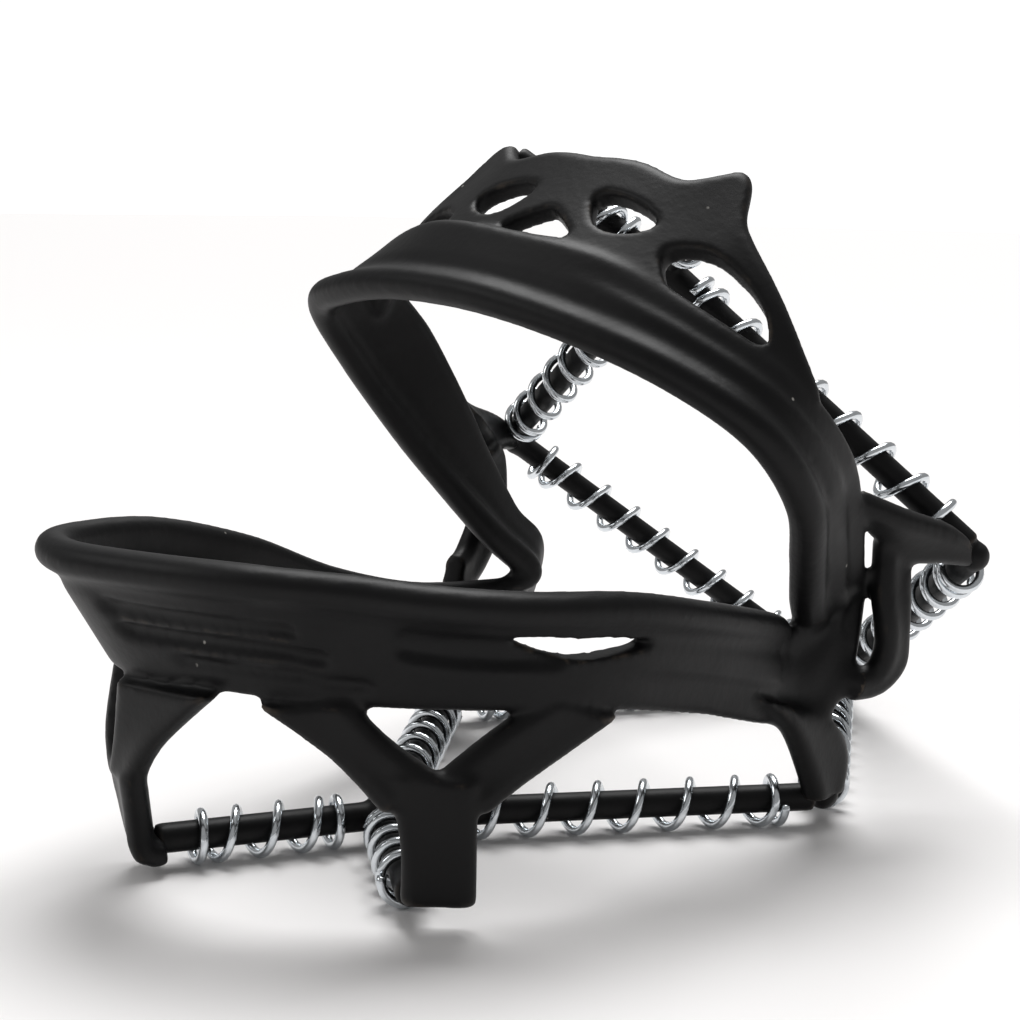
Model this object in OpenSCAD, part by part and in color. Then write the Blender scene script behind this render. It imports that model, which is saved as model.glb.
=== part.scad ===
// Pull-over shoe ice cleat: one stretchy rubber sling that hooks over heel and toe,
// with wire coils threaded on the cords of its sole web.
// It lies as it does off the shoe: heel half on the floor, toe half folded up over it.
// +X is the wearer's right, +Y runs from heel to toe, +Z is up. All sizes are in millimetres.

/* [Overall] */
// Width of the heel half across the web's arch corners
web_w = 69; // [60:0.5:80]
// Length of the heel half, from the heel's centre to the arch cross
heel_l = 126; // [112:1:140]
// Length of the toe half, from the arch cross to the toe corners
toe_l = 107.5; // [96:0.5:119]
// Height of the rim above the sole web
wall_h = 37.5; // [32:0.5:44]
// Fold between the two halves; 0 would lie flat
fold_deg = 130; // [120:1:136]

/* [Rubber] */
// Thickness of the side bands
band_t = 2.6; // [2:0.1:3.4]
// Diameter of the bead round the rim
bead_d = 4.6; // [3.8:0.1:5.4]
// Thickness of the arms that reach down to the web
arm_t = 3.4; // [2.8:0.1:4]
// Diameter of the web's cords
cord_d = 3.6; // [2.6:0.1:3.8]

/* [Coils] */
// Outer diameter of a coil
coil_od = 7; // [6.6:0.1:7.6]
// Diameter of the coil's wire
wire_d = 1.2; // [0.9:0.1:1.3]
// Pitch of the coils
coil_pitch = 5.8; // [4.8:0.1:7]

/* [Clearances] */
// Gap between pieces of different bodies
body_gap = 0.3; // [0.2:0.1:0.5]
// Bare cord between a coil and the arm or cross it ends at
bare_min = 5.4; // [5:0.1:6.4]

/* [Hidden] */

rubber = [0.06, 0.06, 0.065];
zinc = [0.78, 0.8, 0.82];

// The halves are laid out at these sizes and stretched to the chosen ones.
base_w = 69;
base_heel_l = 126;
base_toe_l = 107.5;
base_wall_h = 37.5;
kw = web_w / base_w;
kh = wall_h / base_wall_h;
coil_r = coil_od / 2;
// Centre of the whole part on the floor, measured from the heel's centre.
centre = [1.7, 55.8];

function unit(v) = v / norm(v);
function toward(p, q, s) = p + unit(q - p) * s;
function mix(p, q, t) = p + (q - p) * t;

// A point of the heel half: right, forward, and height above the web's cords.
function heel_at(p) = [
  p[0] * kw - centre[0],
  p[1] * heel_l / base_heel_l - centre[1],
  coil_r + p[2] * kh
];

// The toe half has its own axes: along the sole, across it, and up towards the foot.
lean = 5;
turn = 2.5;
fold_out = [0, cos(fold_deg), sin(fold_deg)];
fold_up = [0, -sin(fold_deg), cos(fold_deg)];
lean_x = [cos(lean), 0, 0] + sin(lean) * fold_up;
axis_a = cos(turn) * fold_out + sin(turn) * lean_x;
axis_b = -sin(turn) * fold_out + cos(turn) * lean_x;
axis_c = [-sin(lean), 0, 0] + cos(lean) * fold_up;
arch = heel_at([0, base_heel_l, 0]);
function toe_at(p) = arch + axis_a * p[0] * toe_l / base_toe_l + axis_b * p[1] * kw
  + axis_c * p[2] * kh;

// Corners of the sole web.
heel_x = heel_at([-4, 22, 0]);
heel_r = heel_at([18.5, 3, 0]);
heel_lf = heel_at([-18.5, -5, 0]);
rear_r = heel_at([33, 67, 0]);
rear_l = heel_at([-36, 69, 0]);
ball_r = toe_at([52, 42.5, 6.5]);
ball_l = toe_at([52, -42.5, 6.5]);
toe_x = toe_at([90.5, 0, 0]);
toe_r = toe_at([107.5, 20, 0]);
toe_lf = toe_at([107.5, -20, 0]);

// Ball where cords cross, where in it each cord starts, and how far short of a corner it stops.
cross_d = 1.78 * cord_d;
cord_start = 0.68 * cord_d;
cord_end = 0.4 * cord_d;
// The arch cross is a short barrel along the fold's axis.
barrel_d = coil_od - 0.2;
barrel_l = 12;

// Smooth curve through points, with n steps between neighbours.
function bend(p0, p1, p2, p3, t) = 0.5 * (
  2 * p1 + (p2 - p0) * t + (2 * p0 - 5 * p1 + 4 * p2 - p3) * t * t
  + (3 * p1 - p0 - 3 * p2 + p3) * t * t * t);
function smooth(p, n) = [
  for (i = [0:len(p) - 2], k = [0:n - 1])
    bend(p[max(i - 1, 0)], p[i], p[i + 1], p[min(i + 2, len(p) - 1)], k / n),
  p[len(p) - 1]
];
function column(rows, k) = [for (r = rows) r[k]];
function smooth_rows(rows, n) = let (
  p = smooth(column(rows, 0), n),
  q = smooth(column(rows, 1), n)
) [for (i = [0:len(p) - 1]) [p[i], q[i]]];
function heel_rows(rows) = [for (r = rows) [heel_at(r[0]), heel_at(r[1])]];
function toe_rows(rows) = [for (r = rows) [toe_at(r[0]), toe_at(r[1])]];
function other_side(rows) = [for (r = rows) [for (p = r) [p[0], -p[1], p[2]]]];

// Closed skin over a row of equal rings, each ring running round the way of travel.
// The end caps are cut into strips between a ring's two sides.
module skin(rings) {
  m = len(rings[0]);
  n = len(rings);
  last = (n - 1) * m;
  polyhedron(
    [for (r = rings) each r],
    [
      for (j = [0:m / 2 - 2]) each [[j, j + 1, m - 2 - j], [j, m - 2 - j, m - 1 - j]],
      for (j = [0:m / 2 - 2]) each [
        [last + m - 2 - j, last + j + 1, last + j],
        [last + m - 1 - j, last + m - 2 - j, last + j]
      ],
      for (i = [0:n - 2], j = [0:m - 1]) let (k = (j + 1) % m) each [
        [i * m + j, i * m + m + j, i * m + m + k],
        [i * m + j, i * m + m + k, i * m + k]
      ]
    ]
  );
}

// Flat strip of rubber swept along rows of [rim point, lower edge point].
// half lists one side of its section: [0 at the rim or 1 at the edge, outward, sideways].
module strip(rows, half) {
  last = len(rows) - 1;
  skin([
    for (i = [0:last]) let (
      p = rows[i][0],
      q = rows[i][1],
      a = rows[max(i - 1, 0)],
      b = rows[min(i + 1, last)],
      w = unit(p - q),
      side = unit(cross(b[0] + b[1] - a[0] - a[1], w))
    ) [
      for (h = half) (h[0] == 0 ? p : q) + w * h[1] + side * h[2],
      for (k = [len(half) - 1:-1:0]) let (h = half[k])
        (h[0] == 0 ? p : q) + w * h[1] - side * h[2]
    ]
  ]);
}

bead_r = bead_d / 2;
beaded = [
  [0, 0.9 * bead_r, 0.45 * bead_r],
  [0, 0.3 * bead_r, 0.95 * bead_r],
  [0, -0.5 * bead_r, 0.87 * bead_r],
  [0, -1.3 * bead_r, band_t / 2],
  [1, 0, band_t / 2],
  [1, -0.45 * band_t, 0.25 * band_t]
];
plain = [
  [0, 0.42 * arm_t, 0.25 * arm_t],
  [0, 0, arm_t / 2],
  [1, 0, arm_t / 2],
  [1, -0.42 * arm_t, 0.25 * arm_t]
];
module band(rows, n) strip(smooth_rows(rows, n), beaded);
module arm(rows, n) strip(smooth_rows(rows, n), plain);

// Straight round cord from p to q, stopping short of q by e.
module cord(p, q, s, e, sides = 24) {
  v = unit(q - p);
  translate(p + v * s)
    rotate([0, acos(v[2]), atan2(v[1], v[0])])
      cylinder(d = cord_d, h = norm(q - p) - s - e, $fn = sides);
}

// Bands of the heel half.
left_rows = [
  [[-28.5, 70, 18], [-30, 69, 6]],
  [[-32, 57, 19], [-32.5, 56, 7.5]],
  [[-33, 41, 23.5], [-32.5, 41, 11.5]],
  [[-33, 25, 30], [-30.5, 25, 17]],
  [[-32.5, 8, 34.5], [-27.5, 9, 21]]
];
back_rows = [
  [[-32.5, 8, 34.5], [-27.5, 9, 21]],
  [[-28, -9, 36], [-21.5, -5, 23]],
  [[-20, -14.5, 36], [-15.5, -8.5, 23]],
  [[-7.5, -13.5, 36], [-6, -7.5, 23]],
  [[5.5, -10, 36], [6, -4.5, 23]],
  [[14, -3, 35], [12.5, 0.5, 22.5]],
  [[22, 3, 34], [20, 5.5, 22.5]]
];
right_rows = [
  [[22, 3, 34], [20, 5.5, 22.5]],
  [[28, 11.5, 33], [26, 13.5, 22]],
  [[31.5, 25, 31.5], [29.5, 25, 20.5]],
  [[31.5, 41, 28], [30.5, 41, 17]],
  [[30.5, 53, 25], [31, 53, 13.5]],
  [[29.2, 59.5, 23], [31, 59.5, 12]]
];

module heel_band_back() color(rubber) band(heel_rows(back_rows), 3);
module heel_band_left() color(rubber) difference() {
  band(heel_rows(left_rows), 2);
  heel_band_back();
}

// The right band is opened by a long finger slit, which tapers to both of its ends.
// It runs between two places counted in rows of the band, at a drop below the rim.
slit_drop = 3;
slit_h = 2.6;
slit_from = 0.75;
slit_to = 2.2;
slit = let (rows = heel_rows(right_rows)) [
  for (k = [0:4]) let (
    t = mix(slit_from, slit_to, k / 4),
    i = floor(t),
    rim = mix(rows[i][0], rows[i + 1][0], t - i),
    edge = mix(rows[i][1], rows[i + 1][1], t - i),
    h = slit_h * sin(15 + 150 * k / 4)
  ) [toward(rim, edge, slit_drop), toward(rim, edge, slit_drop + h)]
];
module heel_band_right() color(rubber) difference() {
  band(heel_rows(right_rows), 2);
  strip(smooth_rows(slit, 2), [[0, 0, 4], [1, 0, 4]]);
  heel_band_back();
}

// The knee is the fold of the band: its rim turns on the spot and its edge swings round.
function first_row(rows) = smooth_rows(rows, 2)[0];
module knee(from, mid, to, grow = 0) {
  rows = concat([from], heel_rows(mid), [to]);
  turned = smooth_rows(rows, 2);
  for (i = [0:len(turned) - 2]) hull() {
    for (r = [turned[i], turned[i + 1]], k = [0, 1])
      translate(r[k]) sphere(d = (k == 0 ? 0.9 * bead_d : band_t) + 2 * grow, $fn = 8);
  }
}
// Everything beyond the plane where a strap starts, less the gap.
module strap_zone(rows) {
  p = rows[0][0];
  q = rows[0][1];
  w = unit(p - q);
  side = unit(cross(rows[1][0] + rows[1][1] - p - q, w));
  v = cross(w, side);
  translate((p + q) / 2 - v * body_gap)
    multmatrix([
      [w[0], side[0], v[0], 0],
      [w[1], side[1], v[1], 0],
      [w[2], side[2], v[2], 0],
      [0, 0, 0, 1]
    ])
      translate([-20, -10, 0]) cube([40, 20, 20]);
}
knee_r_mid = [
  [[29, 61, 22], [32.5, 64.5, 10.5]],
  [[29.2, 62.5, 22.2], [34, 69, 15]]
];
knee_l_mid = [
  [[-27.5, 72, 18.3], [-30.5, 76, 8]],
  [[-26.5, 74, 19], [-31, 81, 13.5]]
];

// Straps and band of the toe half.
strap_r_rows = [
  [[58, 30.5, 28.5], [56, 34, 19.5]],
  [[64, 32.5, 29], [61, 35, 18.5]],
  [[73, 35.5, 29], [70, 36, 18]],
  [[84, 38.5, 29], [82, 37.5, 18.5]]
];
toe_band_rows = [
  [[84, 38.5, 29], [82, 37.5, 18.5]],
  [[95, 36, 29], [95, 35.5, 20.5]],
  [[102.5, 26.5, 29], [104, 26, 21]],
  [[107.5, 13, 29], [109.5, 13.5, 20]],
  [[110, -1.5, 29], [111.5, -1, 20]],
  [[109.5, -16, 29], [111, -15, 19.5]],
  [[106.5, -28, 29], [106, -26, 20]],
  [[101.5, -36, 28.5], [98, -33, 19]],
  [[90, -37, 28], [87, -33.5, 17.5]]
];
strap_l_rows = [
  [[90, -37, 28], [87, -33.5, 17.5]],
  [[76, -34.5, 28], [74, -32.5, 18.5]],
  [[66, -31.5, 28], [63, -31.5, 20]],
  [[56, -27.5, 28], [53, -30.5, 21]],
  [[48, -25, 27], [45, -29.5, 20.5]]
];
module side_strap_right() color(rubber) difference() {
  band(toe_rows(strap_r_rows), 2);
  toe_band();
}
module side_strap_left() color(rubber) difference() {
  band(toe_rows(strap_l_rows), 2);
  toe_band();
}
module toe_band() color(rubber) band(toe_rows(toe_band_rows), 2);

strap_l_back = [for (i = [len(strap_l_rows) - 1:-1:0]) strap_l_rows[i]];
module knee_r(grow) knee(heel_rows(right_rows)[5], knee_r_mid, toe_rows(strap_r_rows)[0], grow);
module knee_l(grow) knee(heel_rows(left_rows)[0], knee_l_mid, toe_rows(strap_l_back)[0], grow);
module knee_right() color(rubber) difference() {
  knee_r(0);
  band(heel_rows(right_rows), 2);
  strap_zone(smooth_rows(toe_rows(strap_r_rows), 2));
}
module knee_left() color(rubber) difference() {
  knee_l(0);
  band(heel_rows(left_rows), 2);
  strap_zone(smooth_rows(toe_rows(strap_l_back), 2));
}

// Each heel arm is a Y: two legs hang from the band and join in one stem.
arm_r_rear = [
  [[5, -6, 21.5], [11.5, -1.5, 22]],
  [[11.5, -1, 16], [15, 1, 17.5]],
  [[17, 1.5, 10.5], [20, 4, 13.5]]
];
arm_r_fore = [
  [[30, 23, 19.5], [27.5, 16.5, 21.5]],
  [[25.5, 13.5, 14], [24.5, 11, 18]],
  [[23.5, 8, 10.5], [21, 6, 13.5]]
];
arm_r_stem = [
  [[17.5, 2, 14], [23, 6.5, 14]],
  [[18.5, 3, 6], [23, 6.5, 6]],
  [[18.5, 3, -0.8], [23, 6.5, -0.8]]
];
arm_l_rear = [
  [[-15, -9.5, 21.5], [-2, -9, 22]],
  [[-17, -8.5, 15], [-11.5, -9, 14.5]],
  [[-20, -7, 9], [-16, -8, 9.5]]
];
arm_l_side = [
  [[-27, 4, 20], [-22.5, -4, 21.5]],
  [[-25.5, -1, 13], [-22.5, -5.5, 13.5]],
  [[-22.5, -4.5, 8], [-20.5, -6.5, 8.5]]
];
arm_l_stem = [
  [[-22.5, -5, 9.5], [-16, -8.5, 9.5]],
  [[-22, -4, 4], [-17, -7, 4]],
  [[-20.5, -3.5, -0.8], [-16.5, -6.5, -0.8]]
];
module heel_arm_right() color(rubber) difference() {
  union() {
    arm(heel_rows(arm_r_rear), 2);
    arm(heel_rows(arm_r_fore), 2);
    arm(heel_rows(arm_r_stem), 2);
  }
  heel_band_back();
  heel_band_right();
}
module heel_arm_left() color(rubber) difference() {
  union() {
    arm(heel_rows(arm_l_rear), 2);
    arm(heel_rows(arm_l_side), 2);
    arm(heel_rows(arm_l_stem), 2);
  }
  heel_band_back();
  heel_band_left();
}

// Arch arms taper from the band's end down to the web's widest corners.
arch_r_rows = [
  [[32, 52.5, 15.5], [32.5, 61, 13]],
  [[33, 58, 11], [33, 68, 9]],
  [[33, 63, 4], [33, 70.5, 4.5]],
  [[33, 65, -0.8], [33, 69.5, -0.8]]
];
arch_l_rows = [
  [[-33, 52.5, 10], [-31.5, 66, 6.5]],
  [[-34, 60, 6.5], [-34, 70, 5]],
  [[-35.5, 65, 3.5], [-36, 72, 3.5]],
  [[-36, 66.5, -0.8], [-36, 71.5, -0.8]]
];
module arch_arm_right() color(rubber) difference() {
  arm(heel_rows(arch_r_rows), 2);
  heel_band_right();
  knee_right();
}
module arch_arm_left() color(rubber) difference() {
  arm(heel_rows(arch_l_rows), 2);
  heel_band_left();
  knee_left();
}

// Top bar of the toe cage, and the two struts that prop it from the band.
bar_rows = [
  [[108, -20.5, 3.8], [108, -20.5, 11]],
  [[110, -11, 4], [110.5, -11, 9.5]],
  [[111, 0, 4.5], [111.5, 0, 9.5]],
  [[110, 11, 4], [110.5, 11, 9.5]],
  [[108, 20.5, 3.8], [108, 20.5, 11]]
];
strut_rows = [
  [[111.3, 0, 9], [111.3, 3, 9]],
  [[111.3, 4, 14], [111.3, 7, 13.5]],
  [[111, 8, 20], [110, 11.5, 20]]
];
module toe_bar() color(rubber) arm(toe_rows(bar_rows), 3);
module toe_struts() color(rubber) difference() {
  union() {
    arm(toe_rows(strut_rows), 2);
    arm(toe_rows(other_side(strut_rows)), 2);
  }
  toe_bar();
  toe_band();
}

// Toe corners: a tongue from the band out to the web's corner, and a bar round to the strap.
tongue_rows = [
  [[107.5, 18.5, 21], [105, 25, 21]],
  [[107.3, 19, 12], [105.5, 25.5, 12.5]],
  [[107.3, 18.5, 5], [105.8, 24.5, 5]],
  [[107.6, 18, 0.8], [106.6, 22.5, 0.8]]
];
corner_rows = [
  [[105.8, 22.5, 12], [105.5, 23, 6]],
  [[103.5, 28, 14], [103.8, 27, 10]],
  [[98, 33, 16.5], [97.5, 32.5, 12.5]],
  [[92, 36, 18], [90, 35.5, 14.5]],
  [[85, 37.5, 18.5], [82, 37, 16.5]]
];
module toe_corner_right() color(rubber) difference() {
  union() {
    arm(toe_rows(tongue_rows), 2);
    arm(toe_rows(corner_rows), 2);
  }
  toe_bar();
  toe_band();
  side_strap_right();
}
module toe_corner_left() color(rubber) difference() {
  union() {
    arm(toe_rows(other_side(tongue_rows)), 2);
    arm(toe_rows(other_side(corner_rows)), 2);
  }
  toe_bar();
  toe_band();
  side_strap_left();
}

// Ball arms taper from the straps out to the web's widest corners of the toe half.
ball_rows = [
  [[72, 36, 17.5], [66, 35, 16]],
  [[66, 39, 14], [59, 37.5, 14]],
  [[59, 41, 9.5], [55.5, 40, 10.5]],
  [[54, 41.5, 7], [52, 41.5, 7.5]]
];
module ball_arm_right() color(rubber) difference() {
  arm(toe_rows(ball_rows), 2);
  side_strap_right();
}
module ball_arm_left() color(rubber) difference() {
  arm(toe_rows(other_side(ball_rows)), 2);
  side_strap_left();
}

// Arch loops bow out behind the fold, with a finger hole between them and the strap.
loop_rows = [
  [[62.5, 36, 15], [58.5, 35.5, 12.5]],
  [[57.5, 37, 20], [55, 37.5, 17.5]],
  [[53.5, 38, 23], [50.5, 38, 21]],
  [[50.5, 38, 25], [47, 38, 23.5]],
  [[48.5, 37, 27.5], [46.5, 37, 27.5]],
  [[50.5, 36, 30.5], [49, 35.5, 31]]
];
loop_l_rows = [
  [[62, -36, 19], [61, -35.5, 15.5]],
  [[56.5, -37, 18], [55.5, -37.5, 14.5]],
  [[51, -38, 21.5], [48.5, -38, 18.5]],
  [[48.5, -38, 26], [45, -38, 24.5]],
  [[48.5, -37, 29.5], [45, -37, 30.5]],
  [[50, -36, 31.5], [48.5, -35.5, 34]]
];
module arch_loop_right() color(rubber) difference() {
  arm(toe_rows(loop_rows), 2);
  side_strap_right();
  ball_arm_right();
  knee_r(body_gap);
}
module arch_loop_left() color(rubber) difference() {
  arm(toe_rows(loop_l_rows), 2);
  side_strap_left();
  ball_arm_left();
  knee_l(body_gap);
}

// Crosses of the sole web, each with the cords that leave it. A cord ends inside its arm.
module web_cross(p, ends) {
  translate(p) sphere(d = cross_d, $fn = 12);
  for (q = ends) cord(p, q, cord_start, cord_end, 12);
}
module heel_cross() color(rubber) web_cross(heel_x, [heel_r, heel_lf, rear_r, rear_l]);
module toe_cross() color(rubber) web_cross(toe_x, [ball_r, ball_l, toe_r, toe_lf]);
module arch_cross() color(rubber) {
  translate(arch) rotate([0, 90, 0]) cylinder(d = barrel_d, h = barrel_l, center = true, $fn = 24);
  cord(arch, rear_r, 0, cord_end);
  cord(arch, rear_l, 0, cord_end);
}

// A ball cord starts clear of the arch cross and of the cord beside it, so that the fold swings.
function knuckle(end, beside) = let (t = acos(unit(end - arch) * unit(beside - arch)))
  (cord_d / 2 * (1 + cos(t)) + body_gap) / sin(t) + 0.1;
module ball_cord_right() color(rubber) cord(arch, ball_r, knuckle(ball_r, rear_r), cord_end);
module ball_cord_left() color(rubber) cord(arch, ball_l, knuckle(ball_l, rear_l), cord_end);

// Bare length a coil on the cord p-q needs at p, to pass a coil on each cord p-r.
function bare(p, q, others) = max([
  bare_min,
  for (r = others) let (t = acos(unit(q - p) * unit(r - p)))
    (coil_r * (1 + cos(t)) + body_gap) / sin(t)
]);
// Bare length it needs at p to pass the plain cord p-r.
function past_cord(p, q, r) = let (t = acos(unit(q - p) * unit(r - p)))
  (cord_d / 2 + coil_r * cos(t) + body_gap) / sin(t) + 0.1;

// Wire coil round the line p-q, from s past p to e short of q, with closed end turns.
turn_steps = 10;
wire_r = wire_d / 2;
end_pitch = 1.2 * wire_d;
function along(t, turns, pitch) =
  t < 1 ? t * end_pitch
  : t > turns - 1 ? end_pitch + (turns - 2) * pitch + (t - turns + 1) * end_pitch
  : end_pitch + (t - 1) * pitch;
module coil(p, q, s, e) {
  v = unit(q - p);
  x = unit(cross(v, [0.1, 0.2, 1]));
  y = cross(v, x);
  span = norm(q - p) - s - e - wire_d;
  open_turns = round((span - 2 * end_pitch) / coil_pitch);
  turns = open_turns + 2;
  pitch = (span - 2 * end_pitch) / open_turns;
  mid_r = coil_r - wire_r;
  skin([
    for (k = [0:turns * turn_steps]) let (
      t = k / turn_steps,
      out = cos(360 * t) * x - sin(360 * t) * y,
      at = p + v * (s + wire_r + along(t, turns, pitch)) + out * mid_r
    ) [
      for (j = [0:5]) at + wire_r * (cos(60 * j) * out + sin(60 * j) * v)
    ]
  ]);
}

module coil_heel_right() color(zinc)
  coil(heel_x, heel_r, bare(heel_x, heel_r, [heel_lf, rear_r]), bare_min);
module coil_heel_left() color(zinc)
  coil(heel_x, heel_lf, bare(heel_x, heel_lf, [heel_r, rear_l]), bare_min);
module coil_rear_right() color(zinc)
  coil(heel_x, rear_r, bare(heel_x, rear_r, [heel_r, rear_l]), bare(rear_r, heel_x, [arch]));
module coil_rear_left() color(zinc)
  coil(heel_x, rear_l, bare(heel_x, rear_l, [heel_lf, rear_r]), bare(rear_l, heel_x, [arch]));
module coil_arch_right() color(zinc)
  coil(arch, rear_r, past_cord(arch, rear_r, ball_r), bare(rear_r, arch, [heel_x]));
module coil_arch_left() color(zinc)
  coil(arch, rear_l, past_cord(arch, rear_l, ball_l), bare(rear_l, arch, [heel_x]));
module coil_ball_right() color(zinc)
  coil(arch, ball_r, bare(arch, ball_r, [rear_r, ball_l]), bare(ball_r, arch, [toe_x]));
module coil_ball_left() color(zinc)
  coil(arch, ball_l, bare(arch, ball_l, [rear_l, ball_r]), bare(ball_l, arch, [toe_x]));
module coil_front_right() color(zinc)
  coil(toe_x, ball_r, bare(toe_x, ball_r, [toe_r, ball_l]), bare(ball_r, toe_x, [arch]));
module coil_front_left() color(zinc)
  coil(toe_x, ball_l, bare(toe_x, ball_l, [toe_lf, ball_r]), bare(ball_l, toe_x, [arch]));
module coil_toe_right() color(zinc)
  coil(toe_x, toe_r, bare(toe_x, toe_r, [ball_r, toe_lf]), bare_min);
module coil_toe_left() color(zinc)
  coil(toe_x, toe_lf, bare(toe_x, toe_lf, [ball_l, toe_r]), bare_min);

heel_band_back();
heel_band_right();
heel_band_left();
knee_right();
knee_left();
heel_arm_right();
heel_arm_left();
arch_arm_right();
arch_arm_left();
heel_cross();
arch_cross();
side_strap_right();
side_strap_left();
toe_band();
toe_bar();
toe_struts();
toe_corner_right();
toe_corner_left();
arch_loop_right();
arch_loop_left();
ball_arm_right();
ball_arm_left();
toe_cross();
ball_cord_right();
ball_cord_left();
coil_heel_right();
coil_heel_left();
coil_rear_right();
coil_rear_left();
coil_arch_right();
coil_arch_left();
coil_ball_right();
coil_ball_left();
coil_front_right();
coil_front_left();
coil_toe_right();
coil_toe_left();
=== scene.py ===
import math
import random

import bmesh
import bpy
from mathutils import Matrix, Vector


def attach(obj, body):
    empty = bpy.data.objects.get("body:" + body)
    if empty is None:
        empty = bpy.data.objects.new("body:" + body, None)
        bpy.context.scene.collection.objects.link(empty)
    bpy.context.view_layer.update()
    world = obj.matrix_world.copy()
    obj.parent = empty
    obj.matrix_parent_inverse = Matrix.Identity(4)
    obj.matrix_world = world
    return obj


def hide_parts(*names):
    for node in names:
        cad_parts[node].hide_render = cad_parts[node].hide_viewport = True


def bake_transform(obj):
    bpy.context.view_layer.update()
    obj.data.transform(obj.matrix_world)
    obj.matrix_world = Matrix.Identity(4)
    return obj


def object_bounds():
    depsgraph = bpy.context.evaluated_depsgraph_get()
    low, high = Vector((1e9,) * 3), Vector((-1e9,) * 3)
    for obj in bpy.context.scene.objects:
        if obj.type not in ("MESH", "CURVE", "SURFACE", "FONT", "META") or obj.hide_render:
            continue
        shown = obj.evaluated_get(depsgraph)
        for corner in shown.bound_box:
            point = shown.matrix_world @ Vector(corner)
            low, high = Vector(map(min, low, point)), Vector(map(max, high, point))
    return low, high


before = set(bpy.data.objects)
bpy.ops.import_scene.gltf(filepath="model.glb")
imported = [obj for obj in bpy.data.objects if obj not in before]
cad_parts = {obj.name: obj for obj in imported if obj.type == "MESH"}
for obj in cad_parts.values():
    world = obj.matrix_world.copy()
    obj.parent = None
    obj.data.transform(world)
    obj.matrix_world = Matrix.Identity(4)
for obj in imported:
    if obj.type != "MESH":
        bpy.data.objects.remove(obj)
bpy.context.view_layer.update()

# ---------------------------------------------------------------- the rubber sling
# One moulding of black rubber: a beaded band that runs round the heel, folds back at two
# knees and runs on round the toe. It is swept as one closed loop, in metres.
MM = 0.001
BAND = 2.6 * MM
BEAD = 2.3 * MM
WEB_HEIGHT = 3.5  # of the web's cords above the floor, which is a coil's outer radius
CENTRE = (1.7, 55.8)
ARCH_FORWARD = 126
FOLD = math.radians(130)
LEAN = math.radians(5)
TURN = math.radians(2.5)


def heel_at(p):
    return Vector((p[0] - CENTRE[0], p[1] - CENTRE[1], WEB_HEIGHT + p[2])) * MM


fold_out = Vector((0, math.cos(FOLD), math.sin(FOLD)))
fold_up = Vector((0, -math.sin(FOLD), math.cos(FOLD)))
across = Vector((math.cos(LEAN), 0, 0)) + fold_up * math.sin(LEAN)
axis_a = fold_out * math.cos(TURN) + across * math.sin(TURN)
axis_b = across * math.cos(TURN) - fold_out * math.sin(TURN)
axis_c = Vector((-math.sin(LEAN), 0, 0)) + fold_up * math.cos(LEAN)
ARCH = heel_at((0, ARCH_FORWARD, 0))


def toe_at(p):
    return ARCH + (axis_a * p[0] + axis_b * p[1] + axis_c * p[2]) * MM


def rows_at(place, rows, side=1):
    return [[place((p[0], p[1] * side, p[2])) for p in row] for row in rows]


def curve_point(points, i, t, closed):
    n = len(points)

    def pick(k):
        return points[k % n] if closed else points[min(max(k, 0), n - 1)]

    a, b, c, d = pick(i - 1), pick(i), pick(i + 1), pick(i + 2)
    return (b * 2 + (c - a) * t + (a * 2 - b * 5 + c * 4 - d) * t * t
            + (b * 3 - a - c * 3 + d) * t * t * t) / 2


def smooth(points, step, closed=False):
    out = []
    for i in range(len(points) if closed else len(points) - 1):
        n = max(1, round((points[(i + 1) % len(points)] - points[i]).length / step))
        out += [curve_point(points, i, k / n, closed) for k in range(n)]
    return out if closed else out + [points[-1]]


def smooth_rows(rows, step, closed=False):
    out = []
    for i in range(len(rows) if closed else len(rows) - 1):
        b, c = rows[i], rows[(i + 1) % len(rows)]
        n = max(1, round(max((c[0] - b[0]).length, (c[1] - b[1]).length) / step))
        out += [[curve_point([r[k] for r in rows], i, j / n, closed) for k in (0, 1)]
                for j in range(n)]
    return out if closed else out + [rows[-1]]


def sweep(bm, rows, section, closed=False):
    """Skins a strip: section(s, width) lists (drop below the rim, outward) points round it."""
    n = len(rows)
    run = 0.0
    rings = []
    for i, (p, q) in enumerate(rows):
        a = rows[i - 1] if closed else rows[max(i - 1, 0)]
        b = rows[(i + 1) % n] if closed else rows[min(i + 1, n - 1)]
        if i:
            run += ((p + q - rows[i - 1][0] - rows[i - 1][1]) / 2).length
        down = (q - p).normalized()
        out = (b[0] + b[1] - a[0] - a[1]).cross(-down).normalized()
        rings.append([p + down * h + out * d for h, d in section(run, (q - p).length)])
    m = len(rings[0])
    long = n if closed else n - 1
    grid = bmesh.ops.create_grid(bm, x_segments=long, y_segments=m, size=0.5)["verts"]
    for v in grid:
        i = round((v.co.x + 0.5) * long) % n
        j = round((v.co.y + 0.5) * m) % m
        v.co = rings[i][j]
    bmesh.ops.remove_doubles(bm, verts=grid, dist=1e-6)
    if not closed:
        edges = [e for e in bm.edges if e.is_boundary]
        bmesh.ops.holes_fill(bm, edges=edges, sides=0)


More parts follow.
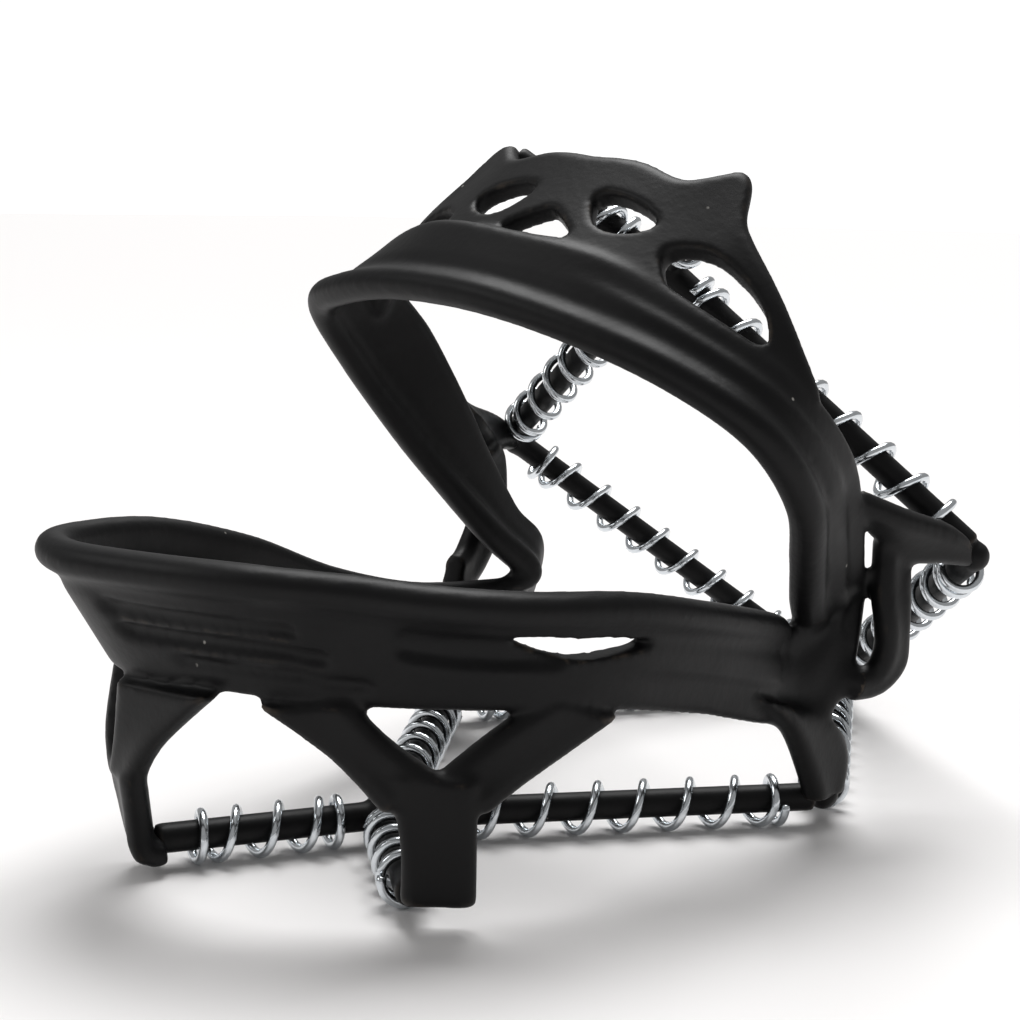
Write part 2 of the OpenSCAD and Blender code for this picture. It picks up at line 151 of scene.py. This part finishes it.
heel_left = [
    [(-28.5, 70, 18), (-30, 69, 6)],
    [(-32, 57, 19), (-32.5, 56, 7.5)],
    [(-33, 41, 23.5), (-32.5, 41, 11.5)],
    [(-33, 25, 30), (-30.5, 25, 17)],
    [(-32.5, 8, 34.5), (-27.5, 9, 21)],
]
heel_back = [
    [(-28, -9, 36), (-21.5, -5, 23)],
    [(-20, -14.5, 36), (-15.5, -8.5, 23)],
    [(-7.5, -13.5, 36), (-6, -7.5, 23)],
    [(5.5, -10, 36), (6, -4.5, 23)],
    [(14, -3, 35), (12.5, 0.5, 22.5)],
    [(22, 3, 34), (20, 5.5, 22.5)],
]
heel_right = [
    [(28, 11.5, 33), (26, 13.5, 22)],
    [(31.5, 25, 31.5), (29.5, 25, 20.5)],
    [(31.5, 41, 28), (30.5, 41, 17)],
    [(30.5, 53, 25), (31, 53, 13.5)],
    [(29.2, 59.5, 23), (31, 59.5, 12)],
]
knee_right = [
    [(29, 61, 22), (32.5, 64.5, 10.5)],
    [(29.2, 62.5, 22.2), (34, 69, 15)],
]
toe_loop = [
    [(58, 30.5, 28.5), (56.5, 33.6, 21.2)],
    [(64, 32.5, 29), (61.6, 34.6, 20.5)],
    [(73, 35.5, 29), (70.5, 35.9, 18.6)],
    [(84, 38.5, 29), (82, 37.5, 18.5)],
    [(95, 36, 29), (95, 35.5, 20.5)],
    [(102.5, 26.5, 29), (104, 26, 21)],
    [(107.5, 13, 29), (109.5, 13.5, 20)],
    [(110, -1.5, 29), (111.5, -1, 20)],
    [(109.5, -16, 29), (111, -15, 19.5)],
    [(106.5, -28, 29), (106, -26, 20)],
    [(101.5, -36, 28.5), (98, -33, 19)],
    [(90, -37, 28), (87, -33.5, 17.5)],
    [(76, -34.5, 28), (74, -32.5, 18.5)],
    [(66, -31.5, 28), (63, -31.5, 20)],
    [(56, -27.5, 28), (53, -30.5, 21)],
    [(48, -25, 27), (45, -29.5, 20.5)],
]
knee_left = [
    [(-26.5, 74, 19), (-31, 81, 13.5)],
    [(-27.5, 72, 18.3), (-30.5, 76, 8)],
]
loop = (rows_at(heel_at, heel_left + heel_back + heel_right + knee_right)
        + rows_at(toe_at, toe_loop) + rows_at(heel_at, knee_left))


def step(x, a, b):
    t = min(max((x - a) / (b - a), 0), 1)
    return t * t * (3 - 2 * t)


def channel(s, h, start, end, at, half):
    """1 inside a rounded-end channel that runs from start to end, at drop at."""
    beyond = max(start + half - s, 0, s - end + half)
    return 1 - step(math.hypot(beyond, h - at), 0.7 * half, 1.05 * half)


# Recessed channels of the band's outside: (start, end, drop below the rim, half width, depth).
CHANNELS = [
    (92, 117, 5.2, 1.2, 1.0),
    (93, 120, 8.1, 1.1, 1.0),
    (100, 125, 10.9, 0.7, 0.7),
    (127, 147, 5.0, 1.9, 1.1),
]


def relief(s, h, width):
    """Outward step of the band's outside: its lower third is set back from the side onward."""
    cut = sum(d * channel(s, h, a, b, at, half) for a, b, at, half, d in CHANNELS)
    along = step(s, 148, 165) * (1 - step(s, 262, 280))
    return along * (0.55 * (1 - step(h, 0.62 * width, 0.62 * width + 0.7)) - 0.15) - cut


BAND_POINTS = 26


def beaded(s, width):
    """Outside from top to bottom, then inside from bottom to top, every half millimetre or so."""
    half = BAND / 2
    outer, inner = [], []
    top = -0.9 * BEAD
    for k in range(BAND_POINTS + 1):
        h = top + (width + 0.45 * BAND - top) * k / BAND_POINTS
        bead = math.sqrt(max(BEAD ** 2 - (h / 0.95) ** 2, 0)) * 0.97
        neck = half - 0.35 * MM * math.exp(-((h / MM - 3.1) / 0.55) ** 2)
        edge = math.sqrt(max(1 - max((h - width + 0.3 * half) / (1.2 * half), 0) ** 2, 0.04))
        wall = neck * edge
        lip = max(bead, wall) if h > 0 else max(bead, 0.15 * BEAD)
        outer.append((h, lip + relief(s / MM, h / MM, width / MM) * MM * edge))
        inner.append((h, -lip))
    return outer + inner[::-1]


# The right heel band is opened by a long finger slit, cut with a blade that tapers to both ends.
# It runs between two places counted in rows of the band, at a drop below the rim.
SLIT_DROP = 3 * MM
SLIT_H = 2.6 * MM
SLIT_FROM = 0.75
SLIT_TO = 2.2
SLIT_STEPS = 4
BLADE_REACH = 4 * MM
right_band = rows_at(heel_at, heel_back[-1:] + heel_right)
slit = []
for k in range(SLIT_STEPS + 1):
    row, part = divmod(SLIT_FROM + (SLIT_TO - SLIT_FROM) * k / SLIT_STEPS, 1)
    behind, ahead = right_band[int(row)], right_band[int(row) + 1]
    rim, edge = [a.lerp(b, part) for a, b in zip(behind, ahead)]
    down = (edge - rim).normalized()
    height = SLIT_H * math.sin(math.radians(15 + 150 * k / SLIT_STEPS))
    slit.append([rim + down * SLIT_DROP, rim + down * (SLIT_DROP + height)])


def blade(s, width):
    r = width / 2
    side = [r + r * math.sin(t) for t in (-1.3, -0.6, 0, 0.6, 1.3)]
    return [(h, BLADE_REACH) for h in side] + [(h, -BLADE_REACH) for h in side[::-1]]


# Arms, loops and the toe cage's wall are flat strips with rounded edges.
ARM_T = 3.4 * MM
LOOP_T = 3.6 * MM
CAGE_T = 3.2 * MM


def flat(thick):
    def section(s, width):
        half = thick / 2
        ring = []
        for k in range(9):
            h = width * k / 8
            hollow = 0.12 * half * math.sin(math.pi * k / 8)
            ring.append((h, half - hollow))
        down = [(-0.42 * thick, 0.25 * thick)] + ring + [(width + 0.42 * thick, 0.25 * thick)]
        return down + [(h, -d) for h, d in down[::-1]]
    return section


arm_rows = [
    [[(5, -6, 21.5), (11.5, -1.5, 22)],
     [(11.5, -1, 16), (15, 1, 17.5)],
     [(17, 1.5, 10.5), (20, 4, 13.5)]],
    [[(30, 23, 19.5), (27.5, 16.5, 21.5)],
     [(25.5, 13.5, 14), (24.5, 11, 18)],
     [(23.5, 8, 10.5), (21, 6, 13.5)]],
    [[(17.5, 2, 14), (23, 6.5, 14)],
     [(18.5, 3, 6), (23, 6.5, 6)],
     [(18.5, 3, -0.8), (23, 6.5, -0.8)]],
    [[(-15, -9.5, 21.5), (-2, -9, 22)],
     [(-17, -8.5, 15), (-11.5, -9, 14.5)],
     [(-20, -7, 9), (-16, -8, 9.5)]],
    [[(-27, 4, 20), (-22.5, -4, 21.5)],
     [(-25.5, -1, 13), (-22.5, -5.5, 13.5)],
     [(-22.5, -4.5, 8), (-20.5, -6.5, 8.5)]],
    [[(-22.5, -5, 9.5), (-16, -8.5, 9.5)],
     [(-22, -4, 4), (-17, -7, 4)],
     [(-20.5, -3.5, -0.8), (-16.5, -6.5, -0.8)],
     [(-19, -2, -1), (-15.5, -4, -1)]],
    [[(32, 52.5, 15.5), (32.5, 61, 13)],
     [(33, 58, 11), (33, 68, 9)],
     [(33, 63, 4), (33, 70.5, 4.5)],
     [(33, 65, 0), (33, 69.5, 0)]],
    [[(-33, 52.5, 10), (-31.5, 66, 6.5)],
     [(-34, 60, 6.5), (-34, 70, 5)],
     [(-35.5, 65, 3.5), (-36, 72, 3.5)],
     [(-36, 66.5, 0), (-36, 71.5, 0)]],
]
ball_rows = [
    [(72, 36, 17.5), (66, 35, 16)],
    [(66, 39, 14), (59, 37.5, 14)],
    [(59, 41, 9.5), (55.5, 40, 10.5)],
    [(54, 41.5, 7), (52, 41.5, 7.5)],
]
loop_rows = [
    [(62.5, 36, 15), (58.5, 35.5, 12.5)],
    [(57.5, 37, 20), (55, 37.5, 17.5)],
    [(53.5, 38, 23), (50.5, 38, 21)],
    [(50.5, 38, 25), (47, 38, 23.5)],
    [(48.5, 37, 27.5), (46.5, 37, 27.5)],
    [(50.5, 36, 30.5), (49, 35.5, 31)],
]
loop_l_rows = [
    [(62, -36, 19), (61, -35.5, 15.5)],
    [(56.5, -37, 18), (55.5, -37.5, 14.5)],
    [(51, -38, 21.5), (48.5, -38, 18.5)],
    [(48.5, -38, 26), (45, -38, 24.5)],
    [(48.5, -37, 29.5), (45, -37, 30.5)],
    [(50, -36, 31.5), (48.5, -35.5, 34)],
]

# The toe cage's wall follows half an ellipse round the toe; its outer edge rises to a horn at
# each web corner.
WALL_FROM = 88
WALL_RISE = 24
WALL_HALF = 37.2
outer_edge = smooth([Vector(p) for p in [
    (0, 4.5, 0), (7, 4, 0), (13.5, 5, 0), (17, 2.5, 0), (19, 0.5, 0), (21, 1.5, 0), (23, 6.5, 0),
    (25, 9, 0), (31, 14, 0), (37, 20, 0)]], 0.5)


def edge_height(x):
    """Height of the wall's outer edge at x from the middle."""
    for p, q in zip(outer_edge, outer_edge[1:]):
        if x <= q.x:
            return p.y + (q.y - p.y) * (x - p.x) / (q.x - p.x)
    return outer_edge[-1].y


def wall_row(b):
    a = WALL_FROM + WALL_RISE * math.sqrt(1 - (b / WALL_HALF) ** 2) - 1.2
    return [(a - 0.5, b, 22), (a, b, edge_height(abs(b)))]


wall_rows = [wall_row(b * 0.5) for b in range(-73, 74)]

# Windows of the toe cage, as (across, towards the rim) outlines.
strut_window = [(5, 11), (6, 9.5), (10, 9.5), (14.5, 11), (15, 12.5), (12, 15), (8, 15)]
mid_window = [(-5.5, 18), (-1, 14), (1, 14), (5.5, 18)]
corner_window = [(18, 16), (19, 14), (22.5, 12.5), (27, 13.5), (30.5, 15.5), (32.5, 19), (32, 20.5),
                 (26.5, 21.5), (21.5, 20)]
windows = [strut_window, [(-x, y) for x, y in strut_window], mid_window,
           corner_window, [(-x, y) for x, y in corner_window]]


WINDOW_FROM = 82
WINDOW_DEPTH = 40


def prism(bm, outline):
    """Cutter along the sole through one window."""
    line = smooth([Vector((WINDOW_FROM, x, y)) for x, y in outline], 1.2, closed=True)
    verts = [bm.verts.new(toe_at(p)) for p in line]
    face = bm.faces.new(verts)
    far = bmesh.ops.extrude_face_region(bm, geom=[face])["geom"]
    moved = [v for v in far if isinstance(v, bmesh.types.BMVert)]
    bmesh.ops.translate(bm, verts=moved, vec=axis_a * WINDOW_DEPTH * MM)


def made(name, bm):
    bmesh.ops.recalc_face_normals(bm, faces=bm.faces[:])
    mesh = bpy.data.meshes.new(name)
    bm.to_mesh(mesh)
    bm.free()
    obj = bpy.data.objects.new(name, mesh)
    bpy.context.scene.collection.objects.link(obj)
    return obj


def apply_all(obj):
    shown = obj.evaluated_get(bpy.context.evaluated_depsgraph_get())
    mesh = bpy.data.meshes.new_from_object(shown)
    obj.modifiers.clear()
    old = obj.data
    obj.data = mesh
    bpy.data.meshes.remove(old)


def cut(obj, tool):
    mod = obj.modifiers.new("cut", "BOOLEAN")
    mod.operation = "DIFFERENCE"
    mod.solver = "EXACT"
    mod.object = tool
    apply_all(obj)
    bpy.data.objects.remove(tool)


BAND_STEP = 0.9 * MM
STRIP_STEP = 1.5 * MM
bm = bmesh.new()
sweep(bm, smooth_rows(loop, BAND_STEP, True), beaded, True)
band = made("band", bm)
bm = bmesh.new()
sweep(bm, smooth_rows(slit, STRIP_STEP), blade)
slit_tool = made("slit_tool", bm)

bm = bmesh.new()
sweep(bm, rows_at(toe_at, wall_rows), flat(CAGE_T))
cage = made("cage", bm)
bm = bmesh.new()
for outline in windows:
    prism(bm, outline)
cut(cage, made("window_tool", bm))

bm = bmesh.new()
for rows in arm_rows:
    sweep(bm, smooth_rows(rows_at(heel_at, rows), STRIP_STEP), flat(ARM_T))
for side in (1, -1):
    sweep(bm, smooth_rows(rows_at(toe_at, ball_rows, side), STRIP_STEP), flat(ARM_T))
for rows in (loop_rows, loop_l_rows):
    sweep(bm, smooth_rows(rows_at(toe_at, rows), STRIP_STEP), flat(LOOP_T))
bm.from_mesh(band.data)
bm.from_mesh(cage.data)
for spare in (band, cage):
    bpy.data.objects.remove(spare)
sling = made("rubber_sling", bm)


def fused(obj, voxel, rounds, soft=()):
    """Runs overlapping shapes together into one moulding and softens the joins, more so at soft."""
    mod = obj.modifiers.new("fuse", "REMESH")
    mod.mode = "VOXEL"
    mod.voxel_size = voxel
    mod.use_smooth_shade = True
    apply_all(obj)
    bm = bmesh.new()
    bm.from_mesh(obj.data)
    for _ in range(rounds):
        bmesh.ops.smooth_vert(bm, verts=bm.verts[:], factor=0.5, use_axis_x=True,
                              use_axis_y=True, use_axis_z=True)
    for middle, radius, more in soft:
        near = [v for v in bm.verts if (v.co - middle).length < radius]
        for _ in range(more):
            bmesh.ops.smooth_vert(bm, verts=near, factor=0.5, use_axis_x=True,
                                  use_axis_y=True, use_axis_z=True)
    # How far each vertex stands out past its neighbours; the rubber paints its convex edges lighter
    # by it, as dust with a painted highlight.
    edge = bm.verts.layers.float.new("edge")
    for v in bm.verts:
        middle = sum((e.other_vert(v).co for e in v.link_edges), Vector()) / len(v.link_edges)
        v[edge] = (v.co - middle).dot(v.normal) / voxel
    for f in bm.faces:
        f.smooth = True
    bm.to_mesh(obj.data)
    bm.free()


JOIN_VOXEL = 0.45 * MM
SLING_VOXEL = 0.46 * MM
KNEE_R = 7.5 * MM
KNEE_ROUNDS = 30
join = sling.modifiers.new("join", "REMESH")
join.mode = "VOXEL"
join.voxel_size = JOIN_VOXEL
cut(sling, slit_tool)
knees = [(heel_at(p), KNEE_R, KNEE_ROUNDS) for p in ((32, 64, 17), (-29.5, 75, 13))]
fused(sling, SLING_VOXEL, 2, knees)


# Black rubber, satin, with a fine moulded grain, brown dust with a painted highlight on its convex
# edges, and a few pale specks.
def rubber_material():
    mat = bpy.data.materials.new("black_rubber")
    mat.use_nodes = True
    nodes, links = mat.node_tree.nodes, mat.node_tree.links
    shader = nodes["Principled BSDF"]
    coords = nodes.new("ShaderNodeTexCoord")

    def noise(scale, detail):
        n = nodes.new("ShaderNodeTexNoise")
        n.inputs["Scale"].default_value = scale
        n.inputs["Detail"].default_value = detail
        links.new(coords.outputs["Object"], n.inputs["Vector"])
        return n.outputs["Fac"]

    def ramp(value, low, high, a, b):
        n = nodes.new("ShaderNodeMapRange")
        for key, number in (("From Min", low), ("From Max", high), ("To Min", a), ("To Max", b)):
            n.inputs[key].default_value = number
        links.new(value, n.inputs["Value"])
        return n.outputs["Result"]

    def times(a, b):
        n = nodes.new("ShaderNodeMath")
        n.operation = "MULTIPLY"
        links.new(a, n.inputs[0])
        links.new(b, n.inputs[1])
        return n.outputs[0]

    def mix(fac, a, b):
        n = nodes.new("ShaderNodeMix")
        n.data_type = "RGBA"
        links.new(fac, n.inputs["Factor"])
        for key, colour in ((6, a), (7, b)):
            if isinstance(colour, tuple):
                n.inputs[key].default_value = (*colour, 1)
            else:
                links.new(colour, n.inputs[key])
        return n.outputs[2]

    bloom = mix(ramp(noise(45, 4), 0.35, 0.7, 0, 1), (0.0036, 0.0036, 0.0040),
                (0.0066, 0.0064, 0.0067))
    # Convex edges, broken up by noise, are lightened to brown: dust with a painted edge highlight.
    edge = nodes.new("ShaderNodeAttribute")
    edge.attribute_name = "edge"
    edge_dust_and_highlight = times(ramp(edge.outputs["Fac"], 0.06, 0.16, 0, 0.8),
                 ramp(noise(420, 5), 0.46, 0.62, 0, 1))
    dust_and_highlight_colour = mix(edge_dust_and_highlight, bloom, (0.060, 0.046, 0.034))
    specks = nodes.new("ShaderNodeTexVoronoi")
    specks.inputs["Scale"].default_value = 330
    links.new(coords.outputs["Object"], specks.inputs["Vector"])
    speck = times(ramp(specks.outputs["Distance"], 0.05, 0.09, 1, 0),
                  ramp(noise(130, 2), 0.6, 0.64, 0, 0.9))
    links.new(mix(speck, dust_and_highlight_colour, (0.30, 0.29, 0.27)), shader.inputs["Base Color"])
    links.new(ramp(noise(80, 4), 0.3, 0.7, 0.4, 0.52), shader.inputs["Roughness"])
    shader.inputs["Specular IOR Level"].default_value = 0.17
    bump = nodes.new("ShaderNodeBump")
    bump.inputs["Strength"].default_value = 0.12
    bump.inputs["Distance"].default_value = 0.0003
    links.new(noise(900, 3), bump.inputs["Height"])
    links.new(bump.outputs["Normal"], shader.inputs["Normal"])
    return mat


rubber = rubber_material()
sling.data.materials.clear()
sling.data.materials.append(rubber)
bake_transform(sling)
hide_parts("heel_band_back", "heel_band_right", "heel_band_left", "knee_right", "knee_left",
            "heel_arm_right", "heel_arm_left", "arch_arm_right", "arch_arm_left",
            "side_strap_right", "side_strap_left", "toe_band", "toe_bar", "toe_struts",
            "toe_corner_right", "toe_corner_left", "arch_loop_right", "arch_loop_left",
            "ball_arm_right", "ball_arm_left")

# ---------------------------------------------------------------- the cords of the sole web
# Round cords of the same moulding cross under the sole and end in the arms' tips. A small
# ball thickens each cross and the four widest tips, and all of it is fused into one.
CORD_R = 1.9 * MM
CORD_END = 1.4 * MM
CROSS_R = 3 * MM
TIP_R = 2.2 * MM
TIP_INSET = 1.3 * MM
CORD_VOXEL = 0.42 * MM
corner = {
    "heel_x": heel_at((-4, 22, 0)), "heel_right": heel_at((18.5, 3, 0)),
    "heel_left": heel_at((-18.5, -5, 0)), "rear_right": heel_at((33, 67, 0)),
    "rear_left": heel_at((-36, 69, 0)), "arch": ARCH,
    "ball_right": toe_at((52, 42.5, 6.5)), "ball_left": toe_at((52, -42.5, 6.5)),
    "toe_x": toe_at((90.5, 0, 0)), "toe_right": toe_at((107.5, 20, 0)),
    "toe_left": toe_at((107.5, -20, 0)),
}
# Each coil by its body: the cord it sits on, and the cords beside it at either end.
coils = {}
for side, other in (("right", "left"), ("left", "right")):
    coils[f"coil_heel_{side}"] = ("heel_x", f"heel_{side}", [f"heel_{other}", f"rear_{side}"], [])
    coils[f"coil_rear_{side}"] = ("heel_x", f"rear_{side}", [f"heel_{side}", f"rear_{other}"],
                                  ["arch"])
    coils[f"coil_arch_{side}"] = ("arch", f"rear_{side}", [f"ball_{side}"], ["heel_x"])
    coils[f"coil_ball_{side}"] = ("arch", f"ball_{side}", [f"rear_{side}", f"ball_{other}"],
                                  ["toe_x"])
    coils[f"coil_front_{side}"] = ("toe_x", f"ball_{side}", [f"toe_{side}", f"ball_{other}"],
                                   ["arch"])
    coils[f"coil_toe_{side}"] = ("toe_x", f"toe_{side}", [f"ball_{side}", f"toe_{other}"], [])

bm = bmesh.new()
for start, end, _, _ in coils.values():
    p, q = corner[start], corner[end]
    q = q - (q - p).normalized() * CORD_END
    turn = (q - p).to_track_quat("Z", "Y").to_matrix().to_4x4()
    bmesh.ops.create_cone(bm, cap_ends=True, segments=24, radius1=CORD_R, radius2=CORD_R,
                          depth=(q - p).length, matrix=Matrix.Translation((p + q) / 2) @ turn)
for hub in ("heel_x", "toe_x", "arch"):
    bmesh.ops.create_icosphere(bm, subdivisions=3, radius=CROSS_R,
                               matrix=Matrix.Translation(corner[hub]))
for tip in ("rear_right", "rear_left", "ball_right", "ball_left"):
    inset = (ARCH - corner[tip]).normalized() * TIP_INSET
    bmesh.ops.create_icosphere(bm, subdivisions=3, radius=TIP_R,
                               matrix=Matrix.Translation(corner[tip] + inset))
cords = made("sole_cords", bm)
fused(cords, CORD_VOXEL, 4)
cords.data.materials.clear()
cords.data.materials.append(rubber)
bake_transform(cords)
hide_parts("heel_cross", "arch_cross", "toe_cross", "ball_cord_right", "ball_cord_left")

# ---------------------------------------------------------------- the coils
# Springs of bright zinc-plated steel wire, threaded loosely on the cords before they are
# joined. Each has a closed turn at either end and is wound by spinning a ring of wire.
COIL_R = WEB_HEIGHT * MM
CAD_CORD_R = 1.8 * MM
WIRE_R = 0.6 * MM
PITCH = 5.8 * MM
END_PITCH = 1.44 * MM
BARE = 5.4 * MM
GAP = 0.3 * MM
STEPS = 28
SAG = 0.25 * MM


def bare(p, q, others):
    """Bare cord a coil leaves at p, to pass the coils on the cords from p to others."""
    least = BARE
    for r in others:
        t = (q - p).angle(corner[r] - p)
        least = max(least, (COIL_R * (1 + math.cos(t)) + GAP) / math.sin(t))
    return least


def past_cord(p, q, r):
    """Bare cord a coil leaves at p, to pass the plain cord from p to r."""
    t = (q - p).angle(r - p)
    return (CAD_CORD_R + COIL_R * math.cos(t) + GAP) / math.sin(t) + 0.1 * MM


def zinc_material():
    mat = bpy.data.materials.new("zinc_wire")
    mat.use_nodes = True
    nodes, links = mat.node_tree.nodes, mat.node_tree.links
    shader = nodes["Principled BSDF"]
    coords = nodes.new("ShaderNodeTexCoord")
    noise = nodes.new("ShaderNodeTexNoise")
    noise.inputs["Scale"].default_value = 520
    noise.inputs["Detail"].default_value = 4
    links.new(coords.outputs["Object"], noise.inputs["Vector"])
    tone = nodes.new("ShaderNodeMix")
    tone.data_type = "RGBA"
    tone.inputs[6].default_value = (0.58, 0.62, 0.66, 1)
    tone.inputs[7].default_value = (0.80, 0.83, 0.85, 1)
    links.new(noise.outputs["Fac"], tone.inputs["Factor"])
    links.new(tone.outputs[2], shader.inputs["Base Color"])
    rough = nodes.new("ShaderNodeMapRange")
    rough.inputs["To Min"].default_value = 0.10
    rough.inputs["To Max"].default_value = 0.26
    links.new(noise.outputs["Fac"], rough.inputs["Value"])
    links.new(rough.outputs["Result"], shader.inputs["Roughness"])
    shader.inputs["Metallic"].default_value = 1
    bump = nodes.new("ShaderNodeBump")
    bump.inputs["Strength"].default_value = 0.03
    bump.inputs["Distance"].default_value = 0.0001
    links.new(noise.outputs["Fac"], bump.inputs["Height"])
    links.new(bump.outputs["Normal"], shader.inputs["Normal"])
    return mat


zinc = zinc_material()
wobble = random.Random(7)
for name, (start, end, near, far) in coils.items():
    p, q = corner[start], corner[end]
    s, e = bare(p, q, near), bare(q, p, far)
    if name.startswith("coil_arch"):
        s = past_cord(p, q, corner[near[0]])
    v = (q - p).normalized()
    x = v.cross(Vector((0.1, 0.2, 1))).normalized()
    span = (q - p).length - s - e - 2 * WIRE_R
    turns = round((span - 2 * END_PITCH) / PITCH)
    pitch = (span - 2 * END_PITCH) / turns
    uneven = [pitch * wobble.uniform(-0.05, 0.05) for _ in range(turns)]
    drift = sum(uneven) / turns
    at = p + v * (s + WIRE_R) - Vector((0, 0, SAG))
    ring_at = at + x * (COIL_R - WIRE_R)
    stand = Matrix([[*axis, 0] for axis in (x, v, x.cross(v))] + [[0, 0, 0, 1]]).transposed()
    bm = bmesh.new()
    ring = bmesh.ops.create_circle(bm, segments=12, radius=WIRE_R,
                                   matrix=Matrix.Translation(ring_at) @ stand)["verts"]
    geom = ring + list(dict.fromkeys(edge for vert in ring for edge in vert.link_edges))
    for rise in [END_PITCH, *[pitch + u - drift for u in uneven], END_PITCH]:
        geom = bmesh.ops.spin(bm, geom=geom, cent=at, axis=v, dvec=v * (rise / STEPS),
                              angle=-2 * math.pi, steps=STEPS, use_duplicate=False)["geom_last"]
        at = at + v * rise
    bmesh.ops.holes_fill(bm, edges=[edge for edge in bm.edges if edge.is_boundary], sides=0)
    for face in bm.faces:
        face.smooth = True
    coil = made(name + "_wire", bm)
    coil.data.materials.append(zinc)
    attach(coil, name)
    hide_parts(name)

# ---------------------------------------------------------------- the stage
# A plain pale floor under a large soft light, with a pale room round it.
floor_mesh = bmesh.new()
bmesh.ops.create_grid(floor_mesh, x_segments=1, y_segments=1, size=6)
floor = made("floor", floor_mesh)
floor.location.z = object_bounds()[0].z - 0.00005
paper = bpy.data.materials.new("pale_paper")
paper.use_nodes = True
card = paper.node_tree.nodes["Principled BSDF"]
card.inputs["Base Color"].default_value = (0.90, 0.885, 0.88, 1)
card.inputs["Roughness"].default_value = 0.55
floor.data.materials.append(paper)

world = bpy.data.worlds.new("room")
bpy.context.scene.world = world
world.use_nodes = True
nodes, links = world.node_tree.nodes, world.node_tree.links
room = nodes["Background"]
room.inputs["Color"].default_value = (1, 0.995, 0.99, 1)
room.inputs["Strength"].default_value = 0.32
sky = nodes.new("ShaderNodeBackground")
sky.inputs["Color"].default_value = (1, 1, 1, 1)
sky.inputs["Strength"].default_value = 1.1
seen = nodes.new("ShaderNodeLightPath")
pick = nodes.new("ShaderNodeMixShader")
links.new(seen.outputs["Is Camera Ray"], pick.inputs["Fac"])
links.new(room.outputs["Background"], pick.inputs[1])
links.new(sky.outputs["Background"], pick.inputs[2])
links.new(pick.outputs["Shader"], nodes["World Output"].inputs["Surface"])


def soft_light(name, place, aim, size, power):
    data = bpy.data.lights.new(name, "AREA")
    data.size = size
    data.energy = power
    obj = bpy.data.objects.new(name, data)
    obj.location = place
    obj.rotation_euler = (Vector(aim) - Vector(place)).to_track_quat("-Z", "Y").to_euler()
    bpy.context.scene.collection.objects.link(obj)


overhead = bpy.data.objects.new("overhead", bpy.data.lights.new("overhead", "SUN"))
overhead.data.energy = 2.95
overhead.data.angle = math.radians(40)
overhead.rotation_euler = (math.radians(-22), math.radians(-14), 0)
bpy.context.scene.collection.objects.link(overhead)
soft_light("left_fill", (-0.5, -0.6, 0.55), (0, 0, 0.04), 0.35, 1.2)

camera = bpy.data.objects.new("camera", bpy.data.cameras.new("camera"))
camera.data.lens = 67.06
camera.data.clip_start = 0.01
camera.location = (0.15486, -0.20194, 0.0807)
PITCH_DOWN = math.radians(9.25)
look = Vector((-0.642 * math.cos(PITCH_DOWN), 0.767 * math.cos(PITCH_DOWN),
               -math.sin(PITCH_DOWN)))
roll = Matrix.Rotation(math.radians(0.99), 3, "Z")
camera.rotation_euler = (look.to_track_quat("-Z", "Y").to_matrix() @ roll).to_euler()
bpy.context.scene.collection.objects.link(camera)
bpy.context.scene.camera = camera
bpy.context.scene.view_settings.view_transform = "Standard"
